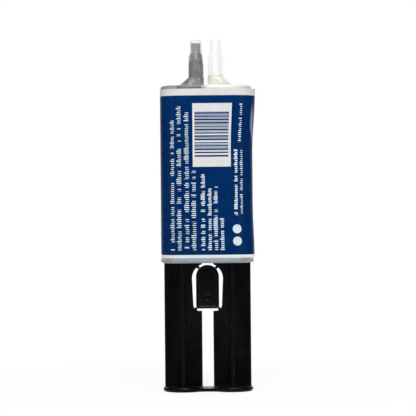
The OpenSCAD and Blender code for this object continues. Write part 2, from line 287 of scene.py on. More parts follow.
def natural_moulding(look):
    """Natural plastic: clear where thin and wet, milky where thick or empty, tinted by the liquids; painted
    shade on the shoulder and along the funnel.
    """
    drawn = (1, 1, 0.03)
    swirled = (0.35, 1, 1)
    sheen = 0.4
    lump_rough, line_rough, milk_rough = 0.1, 0.08, 0.15
    stain_swirl, flange_swirl = 0.12, 0.4
    material, clear, root = new_finish(
        "natural_moulding", Transmission_Weight=look.natural_clear, IOR=look.natural_ior,
        Specular_IOR_Level=sheen)
    where = place_of(root)
    spot = root.node("ShaderNodeSeparateXYZ", None, {0: where})
    height = spot.beside("Z")
    lumps = cloud(root, where, size=5)
    lines = cloud(root, place_of(root, drawn), size=0.5)
    swirl = cloud(root, place_of(root, swirled), size=1.6, detail=4.0).rise(0.35, 0.7)
    mixed(lumps.rise(0.3, 0.7), look.natural, look.natural_shade).feed(clear, "Base Color")
    relief = bumped(root, lines, strength=0.06, depth=0.03 * MM)
    relief.feed(clear, "Normal")

    hardener_side = spot.rise(-1.5, 1.5)
    flange = 1 - passed(height, FLANGE_TOP, below=0.2, above=0.4)
    above_wall = passed(height, END_TOP, below=0, above=0.4)
    rim = passed(height, LABEL_HIGH.z, below=1, above=0) * (1 - above_wall)
    unfilled = passed(height, FILLED_TO, below=0.6, above=0.4)
    shoulder = above_wall * (1 - unfilled) * hardener_side
    empty = unfilled * hardener_side
    # Painted shade line along the funnel's edge, on the shoulder
    painted_shade_and_sheen = painted_funnel_shade(spot, height) * shoulder

    roughness = look.natural_rough + lumps * lump_rough + lines * line_rough + empty * look.empty_blur
    roughness.feed(clear, "Roughness")
    (1 - empty * look.empty_clear).feed(clear, "Alpha")
    liquid = rim_tint(look, spot, height, hardener_side)
    stained = mixed((swirl * stain_swirl).either(empty), liquid, look.milk)
    # The hardener's tint on the shoulder is painted darker, as shade
    stained = mixed(shoulder, stained, look.shoulder)
    stained = mixed(painted_shade_and_sheen, stained, look.funnel_shade)
    thick = mixed(swirl * flange_swirl, look.flange, look.flange_light)
    milky = root.node("ShaderNodeBsdfPrincipled", None, {
        "Base Color": mixed(flange, stained, thick), "Roughness": roughness + milk_rough, "Normal": relief,
        "Specular IOR Level": sheen,
    })
    share = (look.flange_milk * flange + look.rim_milk * rim + look.shoulder_milk * shoulder
             + look.empty_milk * empty + look.funnel_shade_milk * painted_shade_and_sheen + look.thin_milk)
    overlaid(material, clear, share, milky)
    return material


def white_moulding(look):
    """White piston plastic with faint mottling and turned lines round the bore's axis."""
    turned = (0.1, 0.1, 3)
    smooth, ring_rough = 0.38, 0.16
    material, shader, root = new_finish("white_moulding", Subsurface_Weight=0.15, Subsurface_Scale=0.5 * MM)
    lumps = cloud(root, place_of(root), size=3)
    rings = cloud(root, place_of(root, turned), size=0.5)
    mixed(lumps.rise(0.3, 0.7), look.white, look.white_shade).feed(shader, "Base Color")
    (smooth + rings * ring_rough).feed(shader, "Roughness")
    bumped(root, rings, strength=0.1, depth=0.03 * MM).feed(shader, "Normal")
    return material


def seal_rubber(look):
    """Dark rubber with a dusty bloom."""
    clean, bloom_rough = 0.55, 0.25
    material, shader, root = new_finish("seal_rubber", Specular_IOR_Level=0.3)
    where = place_of(root)
    bloom = cloud(root, where, size=1.2, detail=5.0)
    grain = cloud(root, where, size=0.2)
    mixed(bloom.rise(0.45, 0.8), look.rubber, look.rubber_bloom).feed(shader, "Base Color")
    (clean + bloom * bloom_rough).feed(shader, "Roughness")
    bumped(root, grain, strength=0.25, depth=0.04 * MM).feed(shader, "Normal")
    return material


def filled_resin(look):
    """Thick grey liquid with drawn-out swirls of its filler, paler in the slim tip."""
    lean = math.radians(62)
    drawn = (1.0, 1.0, 0.22)
    swirl_share, filler_share, tip_share = 0.8, 0.2, 0.6
    smooth, swirl_rough = 0.22, 0.15
    material, shader, root = new_finish("filled_resin", IOR=1.5)
    where = place_of(root)
    turned = root.node("ShaderNodeMapping", {"vector_type": "POINT"}, {
        "Vector": where, "Rotation": (0.0, lean, 0.0), "Scale": drawn,
    })
    swirls = cloud(root, turned, size=1.3, detail=4.0)
    filler = cloud(root, where, size=0.25, detail=2.0)
    stirred = swirls.rise(0.35, 0.68) * swirl_share + filler.rise(0.6, 0.8) * filler_share
    height = root.node("ShaderNodeSeparateXYZ", None, {0: where}, output="Z")
    tip_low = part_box("resin_in_nozzle")[1].z - look.thin_length
    thin = passed(height, tip_low, below=0.4, above=0.4)
    thick = mixed(stirred, look.resin, look.resin_light)
    mixed(thin * tip_share, thick, look.resin_thin).feed(shader, "Base Color")
    (smooth + swirls * swirl_rough).feed(shader, "Roughness")
    return material


def clear_hardener(look):
    """Pale straw liquid, cloudy in places."""
    smooth, cloud_rough = 0.2, 0.15
    material, shader, root = new_finish("clear_hardener", IOR=1.5, Transmission_Weight=look.hardener_clear)
    lumps = cloud(root, place_of(root), size=2.5, detail=4.0)
    mixed(lumps.rise(0.3, 0.75), look.hardener, look.hardener_light).feed(shader, "Base Color")
    (smooth + lumps * cloud_rough).feed(shader, "Roughness")
    return material


def chance_of(first, second):
    """A number from zero to one, fixed for each pair of numbers."""
    pair = first.node("ShaderNodeCombineXYZ", None, {0: first, 1: second})
    return first.node("ShaderNodeTexWhiteNoise", {"noise_dimensions": "2D"}, {"Vector": pair})


def stroke_rows(across, along):
    """Rows of plain upright strokes with gaps between groups, one for each line of PRINT_ROWS."""
    ink_spread, sway = 0.25, 0.2
    half_height, extra_height, tall_from = 0.3, 0.12, 0.7
    blank_share = 0.16
    inside = ink = offset = row = 0
    for count, (place, start, end, height, share) in enumerate(PRINT_ROWS, 1):
        here = across.within(place - height / 2, place + height / 2) * along.within(start, end)
        inside = here + inside
        ink = here * share + ink
        offset = here * ((across - place) / height) + offset
        row = here * count + row
    step = along / STROKE_PITCH
    chance = chance_of(step.floor(), row)
    stroke = step.fraction() < ink + chance * ink_spread
    reach = abs(offset + (chance - 0.5) * sway) < half_height + (chance > tall_from) * extra_height
    group_seed = row * 3 + 0.5
    joined = chance_of((along / GROUP_PITCH).floor(), group_seed) > blank_share
    return inside * stroke * reach * joined


def bar_panel(across, along):
    """The bare panel, and the bold bars and fine lines on it."""
    least_bold, bold_spread = 0.26, 0.26
    fine_width, blank_share = 0.6, 0.32
    panel = across.within(*PANEL_ACROSS) * along.within(*PANEL_ALONG)
    barred = across.within(*BARS_ACROSS) * along.within(*BARS_ALONG)
    step = along / BOLD_PITCH
    bold = barred * (step.fraction() < least_bold + bold_spread * chance_of(step.floor(), 1.0))
    step = along / FINE_PITCH
    fine = barred * (step.fraction() < fine_width) * (chance_of(step.floor(), 2.0) > blank_share)
    return panel, bold, fine


def plain_dots(across, along):
    """Two plain discs, one above the other."""
    sideways = across - DOT_ACROSS
    dots = 0
    for place in DOTS_ALONG:
        upward = along - place
        dots = (sideways * sideways + upward * upward < DOT_R ** 2) + dots
    return dots


def painted_sheen_band(across, along):
    """Painted highlight: a curved band, palest along its middle, where the film bends off the barrel."""
    place, straight_to, bend, half_width = 20.8, 58, 0.04, 1.6
    below = (straight_to - along).either(0)
    off_sheen = abs(across - below * below * bend - place)
    ends = along.rise(46, 53) * (1 - along.rise(59, 68))
    return (1 - off_sheen.rise(0, half_width)) * ends


def printed_film(look):
    """Glossy film: blue field between white margins, placeholder strokes, bars, two dots, a painted
    highlight where the film bends off, and painted light on the bare strip at the flange.
    """
    cloudy_ink, grainy_ink, upper_ink = 0.4, 0.4, 0.4
    sheen_least, sheen_spread = 0.35, 0.4
    smooth, cloud_rough, grain_rough, bare_rough = 0.2, 0.1, 0.05, 0.06
    grain_height = 0.08
    material, shader, root = new_finish("printed_film", Specular_IOR_Level=look.film_gloss)
    printed = root.node("ShaderNodeUVMap", {"uv_map": PRINT_MAP})
    spot = root.node("ShaderNodeSeparateXYZ", None, {0: printed})
    across = spot / MM
    along = (spot.beside("Y") - LABEL_LOW.z) / MM
    height = (LABEL_HIGH.z - LABEL_LOW.z) / MM
    field = along.within(look.low_margin / MM, height - look.high_margin / MM)
    panel, bold, fine = bar_panel(across, along)
    bare = (1 - field).either(panel - bold)
    # The bare strip at the flange gets a lighter, bluer white: painted light, as if lit by the flange
    painted_light_margin = bare * (along < look.low_margin / MM)

    where = place_of(root)
    mottle = cloud(root, where, size=3.5, detail=4.0)
    grain = cloud(root, where, size=0.3, detail=2.0)
    upper = along.rise(56, 72)
    ink = mottle.rise(0.3, 0.75) * cloudy_ink + grain * grainy_ink + upper * upper_ink
    blue = mixed(ink, look.blue_deep, look.blue)
    # Painted highlight on the blue where the film bends off the barrel
    painted_shade_and_sheen = painted_sheen_band(across, along) * (sheen_least + mottle * sheen_spread)
    blue = mixed(painted_shade_and_sheen, blue, look.painted_shade_and_sheen)
    strokes = stroke_rows(across, along).either(plain_dots(across, along))
    inked = mixed(strokes, blue, look.stroke)
    white = mixed(mottle.rise(0.35, 0.8), look.paper, look.paper_shade)
    white = mixed(painted_light_margin, white, look.painted_lit_film)
    white = mixed(fine, white, look.fine_ink)
    mixed(bare, inked, white).feed(shader, "Base Color")
    roughness = smooth + mottle * cloud_rough + grain * grain_rough + bare * bare_rough
    roughness.feed(shader, "Roughness")
    bumped(root, mottle + grain * grain_height, strength=0.06, depth=0.12 * MM).feed(shader, "Normal")
    return material


def film_edge(look):
    """The film's bare back and cut edge."""
    material, shader, root = new_finish("film_edge", Roughness=0.5)
    fibres = cloud(root, place_of(root), size=0.4, detail=4.0)
    mixed(fibres.rise(0.3, 0.8), look.paper, look.paper_shade).feed(shader, "Base Color")
    return material


def choose(piece, kind, test):
    """In edit mode, selects just those vertices, edges or faces of the piece that pass the test."""
    if bpy.context.mode != "EDIT_MESH":
        bpy.ops.object.mode_set(mode="EDIT")
    bpy.ops.mesh.select_mode(type=kind)
    bpy.ops.mesh.select_all(action="DESELECT")
    bpy.ops.object.mode_set(mode="OBJECT")
    parts = {"VERT": piece.data.vertices, "EDGE": piece.data.edges, "FACE": piece.data.polygons}[kind]
    for part in parts:
        part.select = test(part)
    bpy.ops.object.mode_set(mode="EDIT")


def edge_span(piece, edge):
    first, second = (piece.data.vertices[number].co for number in edge.vertices)
    return second - first


def pick(piece):
    """Selects only this piece and makes it active."""
    bpy.ops.object.select_all(action="DESELECT")
    piece.select_set(True)
    bpy.context.view_layer.objects.active = piece


def made_piece(name):
    """Names the active object and puts its place into its mesh."""
    piece = bpy.context.object
    piece.name = name
    piece.data.name = name
    bpy.ops.object.transform_apply(location=True, rotation=True, scale=True)
    return piece


def welded_copy(node, name):
    """A copy of a CAD node's mesh with its triangles welded and its flat faces made whole."""
    weld, flat_angle = 0.002 * MM, math.radians(0.6)
    piece = bpy.data.objects.new(name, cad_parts[node].data.copy())
    piece.data.name = name
    piece.data.materials.clear()
    bpy.context.collection.objects.link(piece)
    pick(piece)
    bpy.ops.mesh.customdata_custom_splitnormals_clear()
    bpy.ops.object.mode_set(mode="EDIT")
    bpy.ops.mesh.select_all(action="SELECT")
    bpy.ops.mesh.remove_doubles(threshold=weld)
    bpy.ops.mesh.dissolve_limited(angle_limit=flat_angle)
    bpy.ops.mesh.normals_make_consistent(inside=False)
    bpy.ops.object.mode_set(mode="OBJECT")
    return piece


def with_modifier(piece, kind, **settings):
    """Adds a modifier to the active piece and applies it."""
    modifier = piece.modifiers.new(kind.lower(), kind)
    for name, value in settings.items():
        setattr(modifier, name, value)
    bpy.ops.object.modifier_apply(modifier=modifier.name)


def smoothed(piece, degrees=32):
    """Shades the piece smooth, apart from edges sharper than the given angle, and leaves it active."""
    pick(piece)
    bpy.ops.object.shade_smooth_by_angle(angle=math.radians(degrees))


def paint(piece, *materials):
    piece.data.materials.clear()
    for material in materials:
        piece.data.materials.append(material)


def stand_in(piece, body, slot, *nodes):
    """The piece rides on its body in the place of the CAD nodes; its slot is not used."""
    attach(piece, body)
    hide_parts(*nodes)


def lap_length(point, side):
    """Distance along the sleeve from the middle of its front to a point on it."""
    reach = abs(point.x)
    if reach > BORE_X:
        return side * (BORE_X + SLEEVE_R * math.atan2(reach - BORE_X, -point.y))
    if point.y < 0:
        return point.x
    return side * (2 * BORE_X + math.pi * SLEEVE_R - reach)


def map_print(piece):
    """UV map in metres: along the sleeve from the middle of its front, and height."""
    layer = piece.data.uv_layers.new(name=PRINT_MAP)
    for face in piece.data.polygons:
        side = math.copysign(1, face.center.x)
        for loop in face.loop_indices:
            point = piece.data.vertices[piece.data.loops[loop].vertex_index].co
            layer.data[loop].uv = (lap_length(point, side), point.z)


class LabelLook(bpy.types.PropertyGroup):
    """Sizes and colours of the printed label."""

    blue: bpy.props.FloatVectorProperty(
        name="Blue", description="Printed field", subtype="COLOR", default=(0.0, 0.0255, 0.117))
    blue_deep: bpy.props.FloatVectorProperty(
        name="Deep blue", description="Heavier ink in the field", subtype="COLOR",
        default=(0.0, 0.0185, 0.087))
    paper: bpy.props.FloatVectorProperty(
        name="Film white", description="Bare film", subtype="COLOR", default=(0.665, 0.657, 0.65))
    paper_shade: bpy.props.FloatVectorProperty(
        name="Film shade", description="Bare film where it is cloudy", subtype="COLOR",
        default=(0.625, 0.615, 0.605))
    # Painted light: bare film at the flange, lighter and bluer, as if lit by the flange
    painted_lit_film: bpy.props.FloatVectorProperty(
        name="Lower film", description="Bare film at the flange", subtype="COLOR",
        default=(0.86, 0.905, 0.92))
    stroke: bpy.props.FloatVectorProperty(
        name="Strokes", description="Placeholder print", subtype="COLOR", default=(0.6, 0.7, 0.76))
    film_gloss: bpy.props.FloatProperty(
        name="Film gloss", description="Strength of the film's reflection", subtype="FACTOR", default=0.055)
    # Colour of the painted highlight where the film bends off the barrel; the film itself is not whitened
    # there
    painted_shade_and_sheen: bpy.props.FloatVectorProperty(
        name="Crease", description="Film whitened where it bends off the barrel", subtype="COLOR",
        default=(0.5, 0.56, 0.66))
    fine_ink: bpy.props.FloatVectorProperty(
        name="Fine ink", description="Fine lines between the bars", subtype="COLOR",
        default=(0.03, 0.115, 0.3))
    low_margin: bpy.props.FloatProperty(
        name="Lower margin", description="Bare strip at the flange", unit="LENGTH", default=1.4 * MM)
    high_margin: bpy.props.FloatProperty(
        name="Upper margin", description="Bare strip at the nozzles", unit="LENGTH", default=2.9 * MM)
    lap: bpy.props.FloatProperty(
        name="Lap", description="Width of the overlap at the back", unit="LENGTH", default=6 * MM)
    flare: bpy.props.FloatProperty(
        name="Flare", description="How far the upper right corner stands off", unit="LENGTH",
        default=1.35 * MM)
    bulge: bpy.props.FloatProperty(
        name="Bulge", description="How far the lower right corner stands off", unit="LENGTH",
        default=0.6 * MM)
    flare_reach: bpy.props.FloatProperty(
        name="Flare reach", description="Size of the upper corner that stands off", unit="LENGTH",
        default=28 * MM)
    bulge_reach: bpy.props.FloatProperty(
        name="Bulge reach", description="Size of the lower corner that stands off", unit="LENGTH",
        default=23 * MM)


class PlasticLook(bpy.types.PropertyGroup):
    """Colours, gloss and small sizes of the moulded pieces."""

    black: bpy.props.FloatVectorProperty(
        name="Black", description="Plunger and stopper", subtype="COLOR", default=(0.0008, 0.0008, 0.0009))
    black_worn: bpy.props.FloatVectorProperty(
        name="Worn black", description="Scuffs on the black plastic", subtype="COLOR",
        default=(0.004, 0.004, 0.0043))
    black_gloss: bpy.props.FloatProperty(
        name="Black gloss", description="Strength of its reflection", subtype="FACTOR", default=0.12)
    stopper_gloss: bpy.props.FloatProperty(
        name="Stopper gloss", description="Strength of the stopper's reflection", subtype="FACTOR",
        default=0.14)
    natural: bpy.props.FloatVectorProperty(
        name="Natural", description="Barrels and nozzles", subtype="COLOR", default=(0.998, 0.998, 0.995))
    natural_shade: bpy.props.FloatVectorProperty(
        name="Natural shade", description="Cloud in the natural plastic", subtype="COLOR",
        default=(0.992, 0.992, 0.992))
    natural_clear: bpy.props.FloatProperty(
        name="Clearness", description="Share of light that passes through", subtype="FACTOR", default=1.0)
    flange: bpy.props.FloatVectorProperty(
        name="Flange", description="Milky plastic of the flange", subtype="COLOR",
        default=(0.33, 0.36, 0.39))
    flange_light: bpy.props.FloatVectorProperty(
        name="Flange cloud", description="Lighter cloud in the flange", subtype="COLOR",
        default=(0.4, 0.43, 0.46))
    flange_milk: bpy.props.FloatProperty(
        name="Flange milk", description="How milky the thick flange is", subtype="FACTOR", default=0.75)
    rim_resin: bpy.props.FloatVectorProperty(
        name="Rim at the resin", description="Tint of the end rim over the resin", subtype="COLOR",
        default=(0.36, 0.36, 0.345))
    funnel_resin: bpy.props.FloatVectorProperty(
        name="Rim at the funnel", description="Tint of that rim in front of the funnel", subtype="COLOR",
        default=(0.12, 0.13, 0.135))
    rim_hardener: bpy.props.FloatVectorProperty(
        name="Rim at the hardener", description="Tint of the end rim over the hardener", subtype="COLOR",
        default=(0.97, 0.95, 0.87))
    # The hardener's tint on the shoulder, painted darker as shade
    shoulder: bpy.props.FloatVectorProperty(
        name="Hardener's shoulder", description="Tint of the shoulder over the hardener", subtype="COLOR",
        default=(0.82, 0.795, 0.71))
    milk: bpy.props.FloatVectorProperty(
        name="Milk", description="Tint of the plastic that no liquid wets", subtype="COLOR",
        default=(0.95, 0.95, 0.94))
    rim_milk: bpy.props.FloatProperty(
        name="Rim milk", description="How milky the end rim is", subtype="FACTOR", default=0.65)
    shoulder_milk: bpy.props.FloatProperty(
        name="Shoulder milk", description="How milky the hardener's shoulder is", subtype="FACTOR",
        default=0.55)
    empty_milk: bpy.props.FloatProperty(
        name="Empty milk", description="How milky the unfilled nozzle is", subtype="FACTOR", default=0.08)
    empty_blur: bpy.props.FloatProperty(
        name="Empty blur", description="Extra blur of the unfilled nozzle", subtype="FACTOR", default=0.14)
    empty_clear: bpy.props.FloatProperty(
        name="Empty clearness", description="Unseen share of the unfilled nozzle", subtype="FACTOR",
        default=0.85)
    # Colour and milkiness of the painted shade line along the funnel's edge
    funnel_shade: bpy.props.FloatVectorProperty(
        name="Fold", description="Line where the funnel shows through its shoulder", subtype="COLOR",
        default=(0.2, 0.18, 0.14))
    funnel_shade_milk: bpy.props.FloatProperty(
        name="Fold milk", description="How milky the plastic is along that line", subtype="FACTOR",
        default=0.4)
    thin_milk: bpy.props.FloatProperty(
        name="Thin milk", description="How milky the thin walls are", subtype="FACTOR", default=0.015)
    natural_rough: bpy.props.FloatProperty(
        name="Natural roughness", description="Blur seen through the natural plastic", subtype="FACTOR",
        default=0.14)
    natural_ior: bpy.props.FloatProperty(
        name="Index", description="Index of refraction of the natural plastic",
        default=1.49, min=1.0, max=2.0)
    white: bpy.props.FloatVectorProperty(
        name="White", description="Pistons", subtype="COLOR", default=(0.85, 0.85, 0.83))
    white_shade: bpy.props.FloatVectorProperty(
        name="White shade", description="Mottling of the pistons", subtype="COLOR",
        default=(0.78, 0.78, 0.75))
    rubber: bpy.props.FloatVectorProperty(
        name="Rubber", description="Seal rings", subtype="COLOR", default=(0.022, 0.02, 0.019))
    rubber_bloom: bpy.props.FloatVectorProperty(
        name="Rubber bloom", description="Dusty bloom on the rings", subtype="COLOR",
        default=(0.06, 0.056, 0.05))
    edge: bpy.props.FloatProperty(
        name="Moulded edge", description="Rounding of the plunger's sharp edges", unit="LENGTH",
        default=0.12 * MM)
    foot: bpy.props.FloatProperty(
        name="Foot", description="Fillet where the rods stand on the thumb plate", unit="LENGTH",
        default=0.45 * MM)
    recess: bpy.props.FloatProperty(
        name="Recess", description="Step inside the stopper's rounded edge", unit="LENGTH",
        default=0.14 * MM)


class LiquidLook(bpy.types.PropertyGroup):
    """Colours and small sizes of the two liquids."""

    resin: bpy.props.FloatVectorProperty(
        name="Resin", description="Body of the resin", subtype="COLOR", default=(0.125, 0.136, 0.144))
    resin_light: bpy.props.FloatVectorProperty(
        name="Resin swirl", description="Lighter swirls", subtype="COLOR", default=(0.215, 0.23, 0.237))
    resin_thin: bpy.props.FloatVectorProperty(
        name="Thin resin", description="Resin in the slim tip", subtype="COLOR", default=(0.36, 0.38, 0.39))
    thin_length: bpy.props.FloatProperty(
        name="Thin length", description="Length of the slim tip's resin", unit="LENGTH", default=4.2 * MM)
    hardener: bpy.props.FloatVectorProperty(
        name="Hardener", description="Body of the hardener", subtype="COLOR", default=(0.87, 0.85, 0.74))
    hardener_light: bpy.props.FloatVectorProperty(
        name="Hardener cloud", description="Cloud in the hardener", subtype="COLOR",
        default=(0.9, 0.89, 0.83))
    hardener_clear: bpy.props.FloatProperty(
        name="Clearness", description="Share of light that passes through", subtype="FACTOR", default=0.1)
    wetting: bpy.props.FloatProperty(
        name="Wetting", description="How far the liquids swell to wet their walls", unit="LENGTH",
        default=0.13 * MM)
    meniscus: bpy.props.FloatProperty(
        name="Meniscus", description="Depth of a liquid's hollow surface", unit="LENGTH", default=0.35 * MM)
    last_film: bpy.props.FloatProperty(
        name="Last film", description="Liquid left under the end wall at full stroke", unit="LENGTH",
        default=0.3 * MM)


class StageLook(bpy.types.PropertyGroup):
    """Camera, lamps and floor."""

    distance: bpy.props.FloatProperty(
        name="Camera distance", description="From the lens to the barrels' axes", unit="LENGTH",
        default=0.87)
    eye_height: bpy.props.FloatProperty(
        name="Camera height", description="Height of the lens", unit="LENGTH", default=0.0788)
    eye_side: bpy.props.FloatProperty(
        name="Camera side", description="Lens to the right of the middle", unit="LENGTH", default=0.5 * MM)
    lean: bpy.props.FloatProperty(
        name="Lean", description="Tilt of the picture", subtype="ANGLE", default=math.radians(0.5))
    picture: bpy.props.FloatProperty(
        name="Picture width", description="Width seen at the barrels' axes", unit="LENGTH", default=0.1793)
    floor_white: bpy.props.FloatProperty(
        name="Floor white", description="Share of plain white that the floor shows", subtype="FACTOR",
        default=0.86)
    shadow_reach: bpy.props.FloatProperty(
        name="Shadow reach", description="Distance at which the floor is plain white", unit="LENGTH",
        default=0.2)
    floor: bpy.props.FloatVectorProperty(
        name="Floor", description="Floor colour", subtype="COLOR", default=(0.86, 0.86, 0.86))
    floor_size: bpy.props.FloatProperty(
        name="Floor size", description="Width of the floor", unit="LENGTH", default=1.6)
    ambient: bpy.props.FloatProperty(
        name="Ambient", description="Even light from all round", default=0.15, min=0.0)
    front_gloss: bpy.props.FloatProperty(
        name="Front gloss", description="What glossy surfaces see behind the camera", default=0.05, min=0.0)
    key_power: bpy.props.FloatProperty(
        name="Key lamp", description="Power of the soft box over the camera", unit="POWER", default=11.0)
    left_power: bpy.props.FloatProperty(
        name="Left lamp", description="Power of the left soft box", unit="POWER", default=1.2)
    right_power: bpy.props.FloatProperty(
        name="Right lamp", description="Power of the right soft box", unit="POWER", default=1.2)
    top_power: bpy.props.FloatProperty(
        name="Top lamp", description="Power of the soft box overhead", unit="POWER", default=4.0)


class SYRINGE_OT_label(bpy.types.Operator):
    """Wraps the printed film round both barrels, lapped at the back, with two corners standing off"""

    bl_idname = "syringe.label"
    bl_label = "Wrap the label"

    def execute(self, context):
        look = context.scene.syringe_label
        label = self.sleeve()
        map_print(label)
        self.lap_back(label, look)
        self.lift_corners(label, look)
        paint(label, printed_film(look), film_edge(look))
        with_modifier(
            label, "SOLIDIFY", thickness=FILM_T, offset=-1, material_offset=1, material_offset_rim=1)
        smoothed(label)
        stand_in(label, "barrel", "printed_film", "label_sleeve")
        return {"FINISHED"}

    def sleeve(self):
        """A tube whose halves are drawn apart to the barrels, cut into columns and rows."""
        columns, flat_cuts, row_cuts = 96, 13, 35
        middle = (LABEL_LOW.z + LABEL_HIGH.z) / 2
        bpy.ops.mesh.primitive_cylinder_add(
            vertices=columns, radius=SLEEVE_R, depth=LABEL_HIGH.z - LABEL_LOW.z, end_fill_type="NOTHING",
            location=(0, 0, middle), rotation=(0, 0, math.pi / columns))
        label = made_piece("printed_label")
        for side in (-1, 1):
            choose(label, "VERT", lambda corner: corner.co.x * side > 0)
            bpy.ops.transform.translate(value=(side * BORE_X, 0, 0))
        choose(label, "EDGE", lambda edge: abs(edge_span(label, edge).x) > BORE_X)
        bpy.ops.mesh.subdivide(number_cuts=flat_cuts)
        choose(label, "EDGE", lambda edge: abs(edge_span(label, edge).z) > BORE_X)
        bpy.ops.mesh.subdivide(number_cuts=row_cuts)
        bpy.ops.object.mode_set(mode="OBJECT")
        return label

    def lap_back(self, label, look):
        """Raises a strip at the back by the film's thickness and lays its far edge down again."""
        near, weld = 0.1 * MM, 0.01 * MM
        choose(label, "FACE", lambda face: face.center.y > 0 and abs(face.center.x) < look.lap / 2)
        bpy.ops.mesh.extrude_region_move(TRANSFORM_OT_translate={"value": (0, FILM_T, 0)})
        over = SLEEVE_R + FILM_T / 2
        choose(label, "VERT", lambda corner: corner.co.y > over and corner.co.x > look.lap / 2 - near)
        bpy.ops.transform.translate(value=(0, -FILM_T, 0))
        bpy.ops.mesh.select_all(action="SELECT")
        bpy.ops.mesh.remove_doubles(threshold=weld)

    def lift_corners(self, label, look):
        """Pulls the right side's upper and lower ends off the barrel, with a soft fall-off."""
        grip = 1.5 * MM
        for corner_z, lift, reach in (
            (LABEL_HIGH.z, look.flare, look.flare_reach),
            (LABEL_LOW.z, look.bulge, look.bulge_reach),
        ):
            tip = Vector((LABEL_HIGH.x, 0, corner_z))
            choose(label, "VERT", lambda corner: (corner.co - tip).length < grip)
            bpy.ops.transform.translate(
                value=(lift, 0, 0), use_proportional_edit=True, proportional_edit_falloff="SMOOTH",
                proportional_size=reach)
        bpy.ops.object.mode_set(mode="OBJECT")


class SYRINGE_OT_liquids(bpy.types.Operator):
    """Fills bores and nozzles with the two liquids, swollen to wet the walls"""

    bl_idname = "syringe.liquids"
    bl_label = "Fill the liquids"

    def execute(self, context):
        look = context.scene.syringe_liquids
        finishes = {"resin": filled_resin(look), "hardener": clear_hardener(look)}
        slots = {"resin": "grey_resin", "hardener": "pale_hardener"}
        for name, side in SIDES.items():
            charge = self.charge(look, name, side)
            paint(charge, finishes[name])
            smoothed(charge)
            stand_in(charge, "barrel", slots[name], f"{name}_charge")
            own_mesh(charge)

            filling = self.filling(look, name)
            paint(filling, finishes[name])
            smoothed(filling)
            stand_in(filling, "barrel", slots[name], f"{name}_in_nozzle")
        return {"FINISHED"}

    def dish(self, look, *steps):
        """Hollows the selected end face: each step insets and then raises it, in shares of the meniscus."""
        for inset_share, rise_share in steps:
            bpy.ops.mesh.inset(thickness=look.meniscus * inset_share)
            bpy.ops.transform.translate(value=(0, 0, look.meniscus * rise_share))
        bpy.ops.object.mode_set(mode="OBJECT")

    def charge(self, look, name, side):
        """Liquid in one bore, with a rounded lip where it meets the piston."""
        columns, level = 72, 0.5
        bpy.ops.mesh.primitive_cylinder_add(
            vertices=columns, radius=CHARGE_R + look.wetting, depth=CHARGE_HIGH.z - CHARGE_LOW.z,
            end_fill_type="NGON", location=(side * BORE_X, 0, (CHARGE_LOW.z + CHARGE_HIGH.z) / 2))
        piece = made_piece(f"{name}_in_bore")
        choose(piece, "FACE", lambda face: face.normal.z < -level)
        self.dish(look, (1, 0.5), (2, 0.25))
        return piece

    def filling(self, look, name):
        """Liquid in one funnel and nozzle, with a hollow surface on top."""
        near, level = 0.1 * MM, 0.9
        piece = welded_copy(f"{name}_in_nozzle", f"{name}_in_funnel")
        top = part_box(f"{name}_in_nozzle")[1].z
        bpy.ops.object.mode_set(mode="EDIT")
        bpy.ops.mesh.select_all(action="SELECT")
        bpy.ops.transform.shrink_fatten(value=look.wetting, use_even_offset=True)
        self.widen(piece, END_TOP + look.thin_length, top - look.thin_length, look.meniscus)
        choose(piece, "FACE", lambda face: face.normal.z > level and face.center.z > top - near)
        self.dish(look, (1, -0.6), (1, -0.3))
        return piece

    def widen(self, piece, low, high, step):
        """Keeps the filling wide to just under the slim tip: the ring from low to high moves up there."""
        ring = [vertex.co.z for vertex in piece.data.vertices if low < vertex.co.z < high - step]
        if ring:
            choose(piece, "VERT", lambda vertex: low < vertex.co.z < high - step)
            bpy.ops.transform.translate(value=(0, 0, high - step - max(ring)))


class SYRINGE_OT_barrel(bpy.types.Operator):
    """Gives the twin barrel its milky see-through plastic"""

    bl_idname = "syringe.barrel"
    bl_label = "Finish the barrel"

    def execute(self, context):
        paint(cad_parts["twin_barrel"], natural_moulding(context.scene.syringe_plastic))
        return {"FINISHED"}


